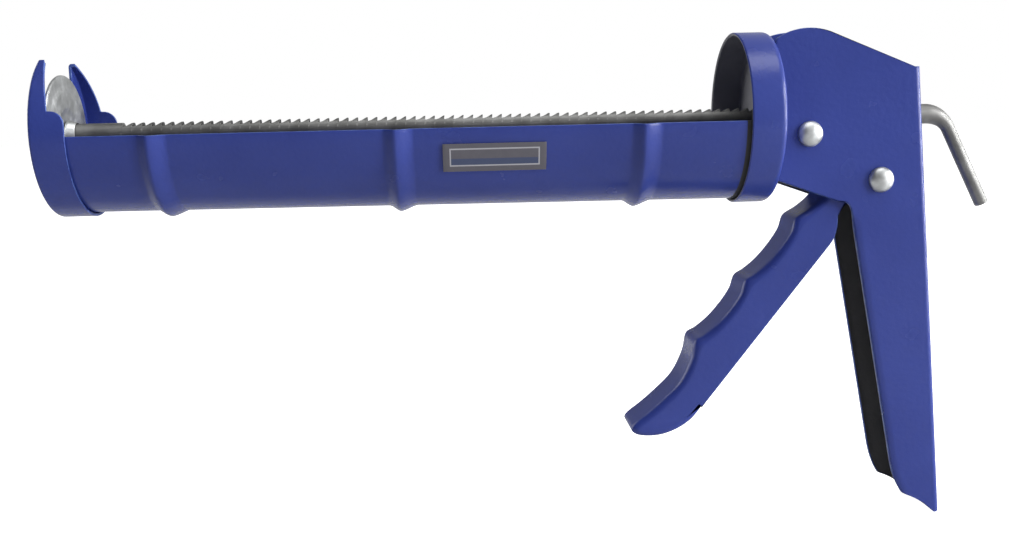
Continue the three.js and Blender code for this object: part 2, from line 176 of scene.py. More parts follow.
# ---------------------------------------------------------------- meshes
class Form:
    """Vertices, faces, each face's material and each vertex's share of edge."""

    def __init__(self):
        self.points = []
        self.faces = []
        self.material = []
        self.edge = []

    def add(self, points, edge=0.0):
        first = len(self.points)
        points = np.asarray(points, float).reshape(-1, 3)
        self.points.extend(points)
        self.edge.extend([edge] * len(points))
        return np.arange(first, first + len(points))

    def face(self, corners, material=0):
        self.faces.append([int(c) for c in corners])
        self.material.append(material)

    def strip(self, a, b, closed=True, material=0):
        """Quads between two matching rows of vertices."""
        last = len(a) if closed else len(a) - 1
        for j in range(last):
            k = (j + 1) % len(a)
            self.face((a[j], a[k], b[k], b[j]), material)


def loft(rings):
    """Closed rings joined in order, with flat ends."""
    form = Form()
    rows = [form.add(ring) for ring in rings]
    for a, b in zip(rows, rows[1:]):
        form.strip(a, b)
    form.face(rows[0])
    form.face(rows[-1])
    return form


def lathe(profile, segments=96, at=None, inside=()):
    """A closed profile of (axial, radius) turned about the X axis, or about Y through (x, z).

    Profile spans whose number is in inside take the second material."""
    form = Form()
    rows = []
    for axial, radius in profile:
        angle = np.arange(segments) * 2 * math.pi / segments
        u, v = radius * np.sin(angle), radius * np.cos(angle)
        flat = np.full(segments, axial)
        if at is None:
            rows.append(form.add(np.stack([flat, u, v], 1)))
        else:
            rows.append(form.add(np.stack([at[0] + u, flat, at[1] + v], 1)))
    for i, row in enumerate(rows):
        form.strip(row, rows[(i + 1) % len(rows)], material=int(i in inside))
    return form


def slab(outline, low, high, edge=0.25, steps=3):
    """An outline in X and Z made solid from low to high across, with eased edges."""
    outline = np.asarray(outline, float)
    run = unit(np.roll(outline, -1, 0) - np.roll(outline, 1, 0))
    out = np.stack([run[:, 1], -run[:, 0]], 1)
    x, z = outline.T
    out *= np.sign(np.sum(x * np.roll(z, -1) - z * np.roll(x, -1)))
    rings = []
    for share in np.linspace(0, 1, steps + 1):
        angle = share * math.pi / 2
        ring = outline - out * edge * (1 - math.sin(angle))
        rings.append((ring, edge * (1 - math.cos(angle))))
    levels = [(r, low + d) for r, d in rings] + [(r, high - d) for r, d in reversed(rings)]
    return loft([np.stack([r[:, 0], np.full(len(r), y), r[:, 1]], 1) for r, y in levels])


def wire(points, radius, sides=8):
    """A round wire along a line of points."""
    points = np.asarray(points, float)
    run = unit(np.gradient(points, axis=0))
    side = unit(np.cross(run[0], (0.3, 1.0, 0.2)))
    rings = []
    angle = np.arange(sides) * 2 * math.pi / sides
    for place, along in zip(points, run):
        side = unit(side - along * np.dot(side, along))
        other = np.cross(along, side)
        rings.append(place + radius * (np.outer(np.cos(angle), side) + np.outer(np.sin(angle), other)))
    return loft(rings)


def inner_face(outer, thickness):
    """A grid a sheet's thickness away, on the side that rows cross columns points to."""
    outer = np.array(outer, float)
    inward = unit(np.cross(np.gradient(outer, axis=0), np.gradient(outer, axis=1)))
    return outer + inward * thickness


def sheet(outer, inner, edge=EDGE, inside=0):
    """A sheet between two matching grids of points, with its free edges eased all round."""
    outer, inner = np.array(outer, float), np.array(inner, float)
    rows, cols = outer.shape[:2]
    loop = [(0, j) for j in range(cols)]
    loop += [(i, cols - 1) for i in range(1, rows)]
    loop += [(rows - 1, j) for j in range(cols - 2, -1, -1)]
    loop += [(i, 0) for i in range(rows - 2, 0, -1)]
    r, c = np.array(loop).T
    top, bottom = outer[r, c], inner[r, c]
    up = unit(top - bottom)
    along = unit(np.roll(top, -1, 0) - np.roll(top, 1, 0))
    out = unit(np.cross(along, up))
    centre = outer[np.clip(r, 1, rows - 2), np.clip(c, 1, cols - 2)]
    out *= np.sign(np.sum(out * (top - centre)))
    turns = np.radians([0, 30, 60, 90])
    ease = [(edge * (1 - math.sin(a)), edge * (1 - math.cos(a))) for a in turns]
    bands = [top - out * back - up * down for back, down in ease]
    bands += [bottom - out * back + up * down for back, down in reversed(ease)]
    outer[r, c] = bands[0]
    inner[r, c] = bands[-1]
    form = Form()
    grids = [form.add(grid).reshape(rows, cols) for grid in (outer, inner)]
    for grid, material in zip(grids, (0, inside)):
        for a, b in zip(grid, grid[1:]):
            form.strip(a, b, closed=False, material=material)
    ring = grids[0][r, c]
    for band in bands[1:-1]:
        following = form.add(band, edge=1.0)
        form.strip(ring, following)
        ring = following
    form.strip(ring, grids[1][r, c])
    return form


def mesh_object(name, form, materials=(), sharp=SHARP):
    """A Blender object, in metres, whose faces are all turned one way.

    That way is outward on every piece but the front cap, whose faces point inward."""
    mesh = bpy.data.meshes.new(name)
    mesh.from_pydata([tuple(p) for p in np.array(form.points) * MM], [], form.faces)
    for material in materials:
        mesh.materials.append(material)
    mesh.polygons.foreach_set("material_index", form.material)
    mesh.attributes.new("edge", "FLOAT", "POINT").data.foreach_set("value", form.edge)
    solid = bmesh.new()
    solid.from_mesh(mesh)
    bmesh.ops.remove_doubles(solid, verts=solid.verts, dist=1e-7)
    bmesh.ops.recalc_face_normals(solid, faces=solid.faces)
    solid.to_mesh(mesh)
    solid.free()
    mesh.polygons.foreach_set("use_smooth", [True] * len(mesh.polygons))
    mesh.set_sharp_from_angle(angle=math.radians(sharp))
    thing = bpy.data.objects.new(name, mesh)
    bpy.context.scene.collection.objects.link(thing)
    return thing


def drill(thing, *holes):
    """Cuts holes, each a form, out of an object and keeps the result as its mesh."""
    tools = [mesh_object(f"{thing.name}_hole", hole) for hole in holes]
    for tool in tools:
        cut = thing.modifiers.new("hole", "BOOLEAN")
        cut.operation = "DIFFERENCE"
        cut.solver = "EXACT"
        cut.object = tool
    seen = thing.evaluated_get(bpy.context.evaluated_depsgraph_get())
    mesh = bpy.data.meshes.new_from_object(seen)
    thing.modifiers.clear()
    thing.data = mesh
    mesh.set_sharp_from_angle(angle=math.radians(SHARP))
    for tool in tools:
        bpy.data.objects.remove(tool)


def place(thing, node, body, slot):
    """The object stands for a CAD node and rides on that node's body."""
    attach(thing, body)
    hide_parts(node)


def pin_hole(x, z, radius, half):
    return lathe([(-half, 0), (-half, radius), (half, radius), (half, 0)], 48, at=(x, z))


# ---------------------------------------------------------------- materials
class Look:
    """A material's node tree, with short ways to add nodes."""

    def __init__(self, name):
        self.material = bpy.data.materials.new(name)
        self.material.use_nodes = True
        self.tree = self.material.node_tree
        self.shader = self.tree.nodes["Principled BSDF"]

    def node(self, kind, settings=(), **inputs):
        made = self.tree.nodes.new(kind)
        for key, value in dict(settings).items():
            setattr(made, key, value)
        for key, value in inputs.items():
            self.feed(made.inputs[key.replace("_", " ")], value)
        return made

    def feed(self, socket, value):
        if isinstance(value, bpy.types.NodeSocket):
            self.tree.links.new(value, socket)
        else:
            socket.default_value = value

    def set(self, **inputs):
        for key, value in inputs.items():
            self.feed(self.shader.inputs[key.replace("_", " ")], value)

    def place(self, scale=(1, 1, 1)):
        """Object coordinates in metres, stretched."""
        coordinates = self.node("ShaderNodeTexCoord").outputs["Object"]
        mapping = self.node("ShaderNodeMapping", Vector=coordinates)
        mapping.inputs["Scale"].default_value = scale
        return mapping.outputs["Vector"]

    def noise(self, scale, detail=3.0, stretch=(1, 1, 1)):
        made = self.node("ShaderNodeTexNoise", Vector=self.place(stretch), Scale=scale, Detail=detail)
        return made.outputs["Fac"]

    def ramp(self, value, low, high, start=0.0, end=1.0):
        """A value between low and high, as the input goes from start to end."""
        made = self.node("ShaderNodeMapRange", Value=value)
        for key, number in zip(("From Min", "From Max", "To Min", "To Max"), (start, end, low, high)):
            made.inputs[key].default_value = number
        return made.outputs["Result"]

    def mix(self, share, a, b):
        made = self.node("ShaderNodeMix", {"data_type": "RGBA"})
        self.feed(made.inputs["Factor"], share)
        self.feed(made.inputs[6], a)
        self.feed(made.inputs[7], b)
        return made.outputs[2]

    def math(self, operation, a, b=0.0):
        made = self.node("ShaderNodeMath", {"operation": operation})
        self.feed(made.inputs[0], a)
        self.feed(made.inputs[1], b)
        return made.outputs[0]

    def bump(self, height, distance, below=None):
        made = self.node("ShaderNodeBump", Height=height, Distance=distance, Strength=1.0)
        if below is not None:
            self.feed(made.inputs["Normal"], below)
        return made.outputs["Normal"]

    def attribute(self, name):
        return self.node("ShaderNodeAttribute", {"attribute_name": name}).outputs["Fac"]


def blue_paint():
    """Sprayed gloss enamel: a faint orange peel, a little cloudiness and a painted highlight, lighter blue
    along the edges.
    """
    look = Look("blue_paint")
    deep, light = (0.022, 0.036, 0.190, 1), (0.028, 0.045, 0.222, 1)
    cloud = look.mix(look.ramp(look.noise(28), 0, 1, 0.3, 0.7), deep, light)
    # Painted highlight: the eased edges are lighter blue, in patches.
    edge_highlight_noise = look.ramp(look.noise(300), 0.15, 0.75, 0.35, 0.65)
    painted_edge_highlight = look.math("MULTIPLY", look.attribute("edge"), edge_highlight_noise)
    colour = look.mix(painted_edge_highlight, cloud, (0.07, 0.12, 0.34, 1))
    peel = look.bump(look.noise(620, 2.0), 0.00006)
    fine = look.bump(look.noise(2400, 1.0), 0.00001, below=peel)
    look.set(Base_Color=colour, Roughness=look.ramp(look.noise(90), 0.22, 0.30), Normal=fine)
    look.set(Specular_IOR_Level=0.27)
    return look.material


def painted_shade_material(name, level):
    """A nearly black, uneven material that paints shade into hollows, inner faces and gaps."""
    look = Look(name)
    cloud = look.ramp(look.noise(60, 5.0), 0, 1, 0.3, 0.7)
    low, high = level * 0.86, level * 1.14
    colour = look.mix(cloud, (low, low, low * 1.1, 1), (high, high, high * 1.1, 1))
    look.set(Base_Color=colour, Roughness=look.ramp(look.noise(140), 0.55, 0.75))
    look.set(Normal=look.bump(look.noise(900), 0.00006))
    return look.material


def metal(name, dark, bright, rough, grain=(1, 1, 1), grain_scale=700):
    """Plated or bare steel, with cloudy plating and a grain that can run along one axis."""
    look = Look(name)
    cloud = look.ramp(look.noise(160, 4.0), 0, 1, 0.35, 0.65)
    lines = look.noise(grain_scale, 4.0, grain)
    colour = look.mix(look.math("MULTIPLY", cloud, lines), dark, bright)
    look.set(Base_Color=colour, Roughness=look.ramp(lines, rough[0], rough[1], 0.25, 0.75))
    look.set(Normal=look.bump(lines, 0.00003), Metallic=1.0)
    return look.material


def zinc_rod():
    """Dull drawn bar with fine lengthwise lines."""
    return metal("zinc_rod", (0.15, 0.15, 0.146, 1), (0.29, 0.29, 0.285, 1), (0.48, 0.62),
                 grain=(0.03, 1, 1), grain_scale=2600)


def label_film():
    """A plain grey film with a thin pale keyline and a narrow stripe, and no lettering."""
    look = Look("label_film")
    place = look.node("ShaderNodeTexCoord").outputs["Object"]
    split = look.node("ShaderNodeSeparateXYZ", Vector=place)
    x, z = split.outputs["X"], split.outputs["Z"]

    def within(value, low, high):
        above = look.math("GREATER_THAN", value, low * MM)
        return look.math("MULTIPLY", above, look.math("LESS_THAN", value, high * MM))

    def box(x_low, x_high, z_low, z_high):
        return look.math("MULTIPLY", within(x, x_low, x_high), within(z, z_low, z_high))

    width = 0.4  # of the keyline
    left, right = LABEL_LOW[0] + 2.0, LABEL_HIGH[0] - 2.0
    low, high = LABEL_LOW[2] + 1.6, LABEL_HIGH[2] - 1.4
    colour = look.mix(look.noise(500), (0.072, 0.069, 0.085, 1), (0.090, 0.086, 0.104, 1))
    inner = box(left + width, right - width, low + width, high - width)
    line = look.math("SUBTRACT", box(left, right, low, high), inner)
    colour = look.mix(line, colour, (0.34, 0.34, 0.37, 1))
    stripe = box(left + width, right - width, low + width, low + 2.3)
    colour = look.mix(stripe, colour, (0.035, 0.050, 0.11, 1))
    look.set(Base_Color=colour, Roughness=look.ramp(look.noise(200), 0.35, 0.45))
    look.set(Normal=look.bump(look.noise(1500), 0.00001))
    return look.material


# ---------------------------------------------------------------- barrel
def bead_height(x):
    """How far the barrel's skin stands proud at X: a steep side in front, a longer one behind."""
    total = 0.0
    for at in BEADS["at"]:
        run = x - at
        if -BEADS["before"] < run <= 0:
            share = 1 + run / BEADS["before"]
            total = BEADS["height"] * (0.35 * share + 0.65 * (1 - math.cos(share * math.pi)) / 2)
        elif 0 < run < BEADS["after"]:
            share = 1 - run / BEADS["after"]
            total = BEADS["height"] * (0.5 * share + 0.5 * (1 - math.cos(share * math.pi)) / 2)
    return total


def stations(low, high, places, coarse, fine, reach):
    """Positions from low to high that are close together near each place."""
    made = [low]
    while made[-1] < high:
        near = any(abs(made[-1] - place) < reach for place in places)
        made.append(min(high, made[-1] + (fine if near else coarse)))
    return made


def half_round(x_values, radius_of, start_of, end_of, cols):
    """A grid round the underside: angles in radians from the near side, down and to the far side."""
    grid = []
    for x in x_values:
        angle = np.linspace(start_of(x), end_of(x), cols)
        radius = radius_of(x)
        grid.append(np.stack([np.full(cols, x), -radius * np.cos(angle), -radius * np.sin(angle)], 1))
    return np.array(grid)


def make_cradle(paint, dark):
    low, high = span("cradle")
    joint = CUP_LOW[0]
    x_values = stations(low[0], high[0], (*BEADS["at"], joint), 3.0, 0.4, 6.2)

    def radius(x):
        share = (x - low[0]) / (high[0] - low[0])
        return CRADLE["front_radius"] + (CRADLE["back_radius"] - CRADLE["front_radius"]) * share

    def start(x):
        share = bead_height(x) / BEADS["height"]
        return math.asin((CRADLE["dip"] * share - CRADLE["edge"]) / radius(x))

    grid = half_round(x_values, lambda x: radius(x) + bead_height(x), start,
                      lambda x: math.pi - start(x), 97)
    form = sheet(grid, inner_face(grid, CRADLE["sheet"]), edge=0.2)
    # Painted shadow: the strip in the mouth of the cup takes the near-black second material.
    strip = 1.1
    for i, face in enumerate(form.faces):
        if np.mean([form.points[c][0] for c in face]) > joint - strip:
            form.material[i] = 1
    piece = mesh_object("cradle_sheet", form, [paint, dark])
    place(piece, "cradle", "frame", "blue_paint")


def cap_rows():
    """Rows of the cap's outer and inner skin: x, radius and height of the row's end for each.

    They run from the slot's edge out over the face, round the corner and back along the rim."""
    front, back, radius = CAP_LOW[0], CAP_HIGH[0], CAP_HIGH[1]
    corner, slot, thick = CAP["corner"], CAP["slot"], CAP["sheet"]
    hollow = radius - corner

    def slot_end(r):
        return math.sqrt(max(r * r - slot * slot, 0))

    rows = []
    for z in np.linspace(0, slot_end(hollow), 34):
        r = math.hypot(slot, z)
        rows.append(((front, r, z), (front + thick, r, z)))
    for turn in np.radians(np.linspace(0, 90, 7)[1:]):
        skins = []
        for bend in (corner, corner - thick):
            r = hollow + bend * math.sin(turn)
            skins.append((front + corner - bend * math.cos(turn), r, slot_end(r)))
        rows.append(tuple(skins))
    horn = [(HORN["tip"][0] - 0.4, slot_end(radius)), *bezier(HORN["tip"], HORN["waist"], HORN["step"], 22)]
    fall = back - HORN["shoulder_x"]
    shoulder = arc((HORN["shoulder_x"], HORN["step"][1] - fall), fall, 90, 4, 12)
    for x, z in rounded([*horn, *shoulder], 0.35, 2, closed=False):
        inner = radius - thick
        rows.append(((x, radius, min(z, slot_end(radius))), (x, inner, min(z, slot_end(inner)))))
    return rows


def make_front_cap(paint):
    skins = ([], [])
    for row in cap_rows():
        for skin, (x, radius, top) in zip(skins, row):
            start = -math.asin(min(top / radius, 1))
            angle = np.linspace(start, math.pi - start, 161)
            y, z = -radius * np.cos(angle), -radius * np.sin(angle)
            skin.append(np.stack([np.full(len(angle), x), y, z], 1))
    piece = mesh_object("front_cap_shell", sheet(*skins, edge=0.16), [paint])
    place(piece, "front_cap", "frame", "blue_paint")


def make_rear_cup(paint, dark):
    front, back, radius = CUP_LOW[0], CUP_HIGH[0], CUP_HIGH[1]
    wall, corner, ease, hole = 1.0, 2.2, 0.35, ROD_RADIUS + 0.4
    inner = radius - wall
    outside = [(front + ease, radius), *bezier((back - corner, radius), (back, radius),
                                               (back, radius - corner), 8)]
    lip = [(front, inner + 0.45), (front, radius - ease)]
    inside = [(back, hole), (back - wall, hole),
              *bezier((back - wall, inner - 1.0), (back - wall, inner), (back - wall - 1.0, inner), 4),
              (front + ease, inner)]
    profile = [*outside, *inside, *lip]
    first = len(outside) + 1
    # The inner faces take painted shade, and the front face of the lip a painted shadow along the mouth.
    form = lathe(profile, 160, inside=range(first, len(profile) - 1))
    piece = mesh_object("rear_cup_shell", form, [paint, dark])
    place(piece, "rear_cup", "frame", "blue_paint")


def make_label(film):
    radius = math.hypot(LABEL_LOW[1], LABEL_HIGH[2])
    start = math.asin(-LABEL_HIGH[2] / radius)
    end = math.asin(-LABEL_LOW[2] / radius)
    x_values = np.linspace(LABEL_LOW[0], LABEL_HIGH[0], 24)
    grid = half_round(x_values, lambda x: radius, lambda x: start, lambda x: end, 24)
    piece = mesh_object("label_film", sheet(grid, inner_face(grid, 0.2), edge=0.06), [film])
    place(piece, "label", "frame", "label_film")


# ---------------------------------------------------------------- channels
def channel_grids(spine, inward, free, half, bends, side, shift=None, roll=None):
    """Outer and inner grid of a folded channel: each row runs from a free edge to the web and back.

    Spine, inward and free are matching rows of (x, z), bends is each row's bend radius, and side is
    the number of points on a flank. Shift moves a flank's points, and roll is how far each row's
    free edges curl in."""
    outer, inner = [], []
    share = np.linspace(0, 1, side)[:, None]
    turn = np.radians(np.linspace(0, 90, 8)[1:])[:, None]
    for i, (p, n, q, r) in enumerate(zip(spine, inward, free, bends)):
        start = p + n * r
        flank = q + (start - q) * share
        if shift is not None:
            flank = flank + shift[i]
        curl = np.zeros(side)
        if roll is not None and roll[i] > 0:
            run = np.linalg.norm(flank - flank[0], axis=1)
            left = np.clip(1 - run / ROLL, 0, 1)
            curl = roll[i] * (1 - np.sqrt(1 - left**2))
        for grid, radius, thickness in ((outer, r, 0.0), (inner, r - SHEET, SHEET)):
            bend = start - n * radius * np.sin(turn)
            line = np.concatenate([flank, bend])
            width = np.concatenate([half - thickness - curl, (half - r + radius * np.cos(turn))[:, 0]])
            web = np.linspace(-(half - r), half - r, 10)[1:-1]
            near = np.stack([line[:, 0], -width, line[:, 1]], 1)
            foot = p + n * thickness
            middle = np.stack([np.full(len(web), foot[0]), web, np.full(len(web), foot[1])], 1)
            grid.append(np.concatenate([near, middle, near[::-1] * (1, -1, 1)]))
    return np.array(outer), np.array(inner)


def paint_inside_above(form, height):
    """Inner faces above a height take the blue paint; below it they keep the near-black painted shade."""
    for i, face in enumerate(form.faces):
        if np.mean([form.points[c][2] for c in face]) > height:
            form.material[i] = 0


def make_handle(paint, dark):
    """The channel that carries both rivets: open in front, its web down the back."""
    head = (234.4, 8.4)
    top = arc(head, 19.0, 67.7, 123.6, 22)
    foot = [*bezier((263.5, -111.0), (264.8, -119.5), (268.2, -124.2), 8), (272.8, -125.8)]
    knee = [*bezier((244.6, -26.8), (248.4, -26.7), (249.0, -30.0), 8)]
    front = [*top, *rounded([top[-1], (223.9, -19.4), (226.2, -20.2), knee[0]], 0.8, 3, closed=False)[1:],
             *knee[1:], *foot]
    front = resample(front, 190)
    rear_top, rear_tip = np.array((269.9, 15.0)), np.array((280.8, -130.9))
    keys = [top[0], (234.4, 27.4), top[-1], (223.9, -19.4), knee[0], knee[-1],
            foot[0], foot[-2], foot[-1]]
    heights = [15.0, 13.8, 8.8, -21.0, -27.0, -31.0, -113.0, -127.5, -130.9]
    fall = (rear_top[1] - matched(front, keys, heights)) / (rear_top[1] - rear_tip[1])
    rear = rear_top + np.outer(fall, rear_tip - rear_top)
    run = unit(rear_tip - rear_top)
    inward = np.tile((run[1], -run[0]), (len(rear), 1))
    # The free edges curl in on the grip only: the curl grows below the knee and fades at the foot.
    grows = np.clip((-31.0 - front[:, 1]) / 4.0, 0, 1)
    fades = np.clip((front[:, 1] + 128.0) / 8.0, 0, 1)
    bends = np.full(len(rear), 1.8)
    side = 64  # points on a flank, close together where it curls
    grids = channel_grids(rear, inward, front, HANDLE_HALF, bends, side, roll=0.75 * grows * fades)
    form = sheet(*grids, inside=1)
    # Inner faces below this height keep the painted shade.
    paint_inside_above(form, -12.0)
    piece = mesh_object("handle_channel", form, [paint, dark])
    bore = lathe([(260, 0), (260, ROD_RADIUS + 0.4), (285, ROD_RADIUS + 0.4), (285, 0)], 48)
    drill(piece, bore, pin_hole(*GUIDE, HOLE["guide"], 30), pin_hole(*PIVOT, HOLE["pivot"], 30))
    place(piece, "handle", "frame", "blue_paint")


def groove(upper, lower):
    """A finger groove from one bump down to the next: deep under the upper bump, then shallower."""
    upper, lower = np.array(upper), np.array(lower)
    chord = lower - upper
    inward = unit(np.array((-chord[1], chord[0])))
    hollow = ((0.18, 1.7), (0.42, 2.3), (0.66, 2.1), (0.86, 1.1))
    return [upper + chord * share + inward * depth for share, depth in hollow]


def make_trigger(paint, dark):
    """The lever: a channel whose web is the finger grip, with ears round both pins."""
    bumps = ((232.2, -32.3), (215.9, -52.1), (199.6, -71.5))
    grip = smooth_line([
        (244.6, -19.2), (242.8, -22.8), (240.3, -26.4), (236.4, -29.6),
        bumps[0], *groove(bumps[0], bumps[1]), bumps[1], *groove(bumps[1], bumps[2]), bumps[2],
        (198.3, -77.4), (194.6, -84.9), (188.8, -90.8), (183.9, -95.0), (179.8, -98.2),
        (178.6, -100.2), (180.6, -101.9), (185.4, -102.4), (190.0, -101.7), (194.6, -99.8),
        (198.6, -96.9), (201.7, -93.1),
    ], 8)
    grip = resample(grip, 184)
    back = np.concatenate([
        [(258.0, -27.4), (247.6, -27.6)],
        bezier((245.3, -31.6), (245.6, -37.6), (242.9, -40.9), 10),
        [(206.9, -86.5), (203.0, -91.4), (201.7, -93.1)],
    ])
    pairs = (
        (grip[0], back[0]), ((236.4, -29.6), (245.3, -33.5)), (bumps[1], (227.0, -61.0)),
        (bumps[2], (210.6, -81.8)), (grip[-1], back[-1]),
    )
    fine = resample(back, 400)
    run = lengths(fine)
    values = [run[np.argmin(np.linalg.norm(fine - np.array(q), axis=1))] for _, q in pairs]
    at = matched(grip, [p for p, _ in pairs], values)
    free = np.stack([np.interp(at, run, fine[:, k]) for k in (0, 1)], 1)
    along = unit(np.gradient(grip, axis=0))
    inward = np.stack([-along[:, 1], along[:, 0]], 1)
    place_share = lengths(grip) / lengths(grip)[-1]
    bends = np.interp(place_share, [0, 0.74, 0.84, 1], [2.3, 2.3, 1.6, 1.6])
    # The bend's inner line is smoother than the grip line, as a press leaves it.
    middle = grip + inward * bends[:, None]
    passes = 30
    for _ in range(passes):
        middle[1:-1] = 0.25 * middle[:-2] + 0.5 * middle[1:-1] + 0.25 * middle[2:]
    inward = (middle - grip) / bends[:, None]
    side = 26
    # The first rows swell upwards into the ears.
    start = grip[0] + inward[0] * bends[0]
    ears = [back[0][None], arc(PIVOT, 7.2, -84, 8, 14), arc(PAWL, 4.3, 8, 130, 12), start[None]]
    ears = resample(np.concatenate(ears), side)
    straight = back[0] + np.outer(np.linspace(0, 1, side), start - back[0])
    ear_rows = 17
    fade = np.clip(1 - np.arange(len(grip)) / ear_rows, 0, 1) ** 1.5
    shift = fade[:, None, None] * (ears - straight)[None]
    # The lever's inner faces take the near-black painted shade.
    form = sheet(*channel_grids(grip, inward, free, TRIGGER_HALF, bends, side, shift), inside=1)
    piece = mesh_object("trigger_lever", form, [paint, dark])
    drill(piece, pin_hole(*PIVOT, HOLE["pivot"], 30), pin_hole(*PAWL, HOLE["pawl"], 30))
    place(piece, "trigger", "trigger", "blue_paint")


# ---------------------------------------------------------------- rod and plunger
def bend_down(points):
    """Everything behind the start of the hook is rolled down round the bend's centre."""
    points = np.array(points, float)
    run = points[:, 0] - HOOK["start"]
    angle = np.clip(run / HOOK["radius"], 0, HOOK["angle"])
    rest = run - angle * HOOK["radius"]
    reach = HOOK["radius"] + points[:, 2]
    x = HOOK["start"] + reach * np.sin(angle) + rest * np.cos(angle)
    z = -HOOK["radius"] + reach * np.cos(angle) - rest * np.sin(angle)
    turned = points.copy()
    turned[run > 0, 0] = x[run > 0]
    turned[run > 0, 2] = z[run > 0]
    return turned


def rod_ring(x, radius=ROD_RADIUS, top=None, top_x=None):
    """A round section cut off flat at a height, its upper part leaning to reach top_x."""
    # Even a full round keeps a tiny flat, so that every ring has the same number of points.
    crown = radius * 0.9995
    top = crown if top is None else min(top, crown)
    top_x = x if top_x is None else top_x
    half = math.sqrt(radius**2 - top**2)
    start = math.atan2(top, half)
    angle = np.linspace(start, -math.pi - start, 40)
    y, z = radius * np.cos(angle), radius * np.sin(angle)
    across = np.linspace(-half, half, 10)[1:-1]
    y, z = np.append(y, across), np.append(z, np.full(len(across), top))
    floor = ROD_RADIUS - TEETH["depth"]
    share = np.clip((z - floor) / TEETH["depth"], 0, 1)
    return np.stack([x + (top_x - x) * share, y, z], 1)


def tooth_rings():
    """Notch after notch: a short floor, a hollow slope up towards the back, a leaning steep face."""
    floor = ROD_RADIUS - TEETH["depth"]
    pitch, lean, land = TEETH["pitch"], TEETH["lean"], TEETH["floor"]
    rings = []
    count = int((TEETH["end"] - TEETH["start"]) / pitch)
    for i in range(count):
        x = TEETH["start"] + i * pitch
        rings.append(rod_ring(x - lean + 0.03, top=floor))
        rings.append(rod_ring(x + land * 0.5, top=floor + 0.03))
        for share in (0.25, 0.5, 0.75, 0.93):
            rise = TEETH["depth"] * share**1.12
            rings.append(rod_ring(x + land + (pitch - land - lean) * share, top=floor + rise))
        tip = x + pitch
        rings.append(rod_ring(tip - lean - 0.05, top=ROD_RADIUS - 0.03, top_x=tip - 0.1))
        rings.append(rod_ring(tip - lean, top=ROD_RADIUS - 0.12, top_x=tip))
    return rings


def make_rod(zinc):
    head = [(0, 0.01), (0, 4.5), (0.12, 4.85), (0.4, 5.0), (0.7, 4.85), (0.8, 4.5), (0.82, 2.4),
            (2.48, 2.4), (2.5, 2.85), (2.75, ROD_RADIUS)]
    rings = [rod_ring(x, radius) for x, radius in head]
    rings += [rod_ring(x) for x in (10, TEETH["start"] - 1)]
    rings.append(rod_ring(TEETH["start"] - TEETH["lean"] - 0.02))
    rings += tooth_rings()
    rings += [rod_ring(x) for x in (TEETH["end"] + 1.5, 271, HOOK["start"])]
    bend = HOOK["radius"] * HOOK["angle"]
    for share in np.linspace(0, 1, 19)[1:]:
        ease = share * share * (3 - 2 * share)
        rings.append(rod_ring(HOOK["start"] + bend * share,
                              ROD_RADIUS + (HOOK["leg"] - ROD_RADIUS) * ease))
    end = HOOK["length"]
    rings += [rod_ring(x, HOOK["leg"]) for x in (end - 8, end - 0.45)]
    rings += [rod_ring(end - 0.13, HOOK["leg"] - 0.13), rod_ring(end, HOOK["leg"] - 0.45)]
    piece = mesh_object("push_rod", loft([bend_down(ring) for ring in rings]), [zinc], sharp=38)
    place(piece, "rod", "rod", "zinc_rod")


def make_plunger(plated):
    """A pressed disc with a raised ring round its middle, and the collar round the rod."""
    low, high = span("plunger_plate")
    front, back, raised, radius = low[0], low[0] + 1.2, high[0], high[1]
    bore = 2.7
    ring = [(back, 15.0), (raised, 13.2), (raised, 8.2), (back, 6.4)]
    profile = rounded([(front, bore), (front, radius), (back, radius), *ring, (back, bore)], 0.55, 4)
    piece = mesh_object("plunger_disc", lathe(profile, 144), [plated])
    place(piece, "plunger_plate", "plunger", "plated_steel")
    low, high = span("plunger_hub")
    bore, radius = ROD_RADIUS + 0.3, high[1]
    profile = [(low[0], bore), (low[0], radius), (low[0] + 0.9, radius),
               (high[0], radius - 0.75), (high[0], bore)]
    piece = mesh_object("plunger_collar", lathe(rounded(profile, 0.35, 5)), [plated])
    place(piece, "plunger_hub", "plunger", "plated_steel")


# ---------------------------------------------------------------- rivets, pins and springs
def turned_size(node):
    """The Y of both ends, the (x, z) of the axis and the radius of a part turned about Y."""
    low, high = span(node)
    at = ((low[0] + high[0]) / 2, (low[2] + high[2]) / 2)
    return low[1], high[1], at, (high[0] - low[0]) / 2


def make_rivet(node, shank, plated):
    """A domed head with a thin skirt on the near side and a spun clinch on the far side."""
    near, far, at, radius = turned_size(node)
    seat = HANDLE_HALF + 0.05
    depth = -near - seat - 0.35
    dome = []
    for turn in np.radians(np.linspace(0, 78, 10)):
        dome.append((near + depth * (1 - math.cos(turn)), 0.985 * radius * math.sin(turn)))
    rise = far - seat
    clinch = [(seat, shank), (seat, 3.5), (seat + 0.35, 3.7), (seat + rise * 0.75, 3.1), (far, 2.2),
              (far - 0.5, 1.2), (far - 0.7, 0)]
    skirt = [(-seat - 0.3, radius), (-seat, radius - 0.08), (-seat, shank)]
    profile = [*dome, *skirt, *rounded(clinch, 0.3, 3, closed=False)]
    piece = mesh_object(f"{node}_head", lathe(profile, 72, at=at), [plated], sharp=50)
    place(piece, node, "frame", "plated_steel")


def make_ring(node, body, plated, ease, bore=None):
    """A washer, bush or spacer, or a pin with dimpled ends, on an axis across the gun."""
    near, far, at, radius = turned_size(node)
    if bore is None:
        dimple, mouth = 0.9, radius * 0.45
        ends = [(near + dimple, 0), (near, mouth), (near, radius), (far, radius), (far, mouth),
                (far - dimple, 0)]
        profile = rounded(ends, ease, 3, closed=False)
    else:
        profile = rounded([(near, bore), (near, radius), (far, radius), (far, bore)], ease, 3)
    piece = mesh_object(f"{node}_turned", lathe(profile, 64, at=at), [plated])
    place(piece, node, body, "plated_steel")


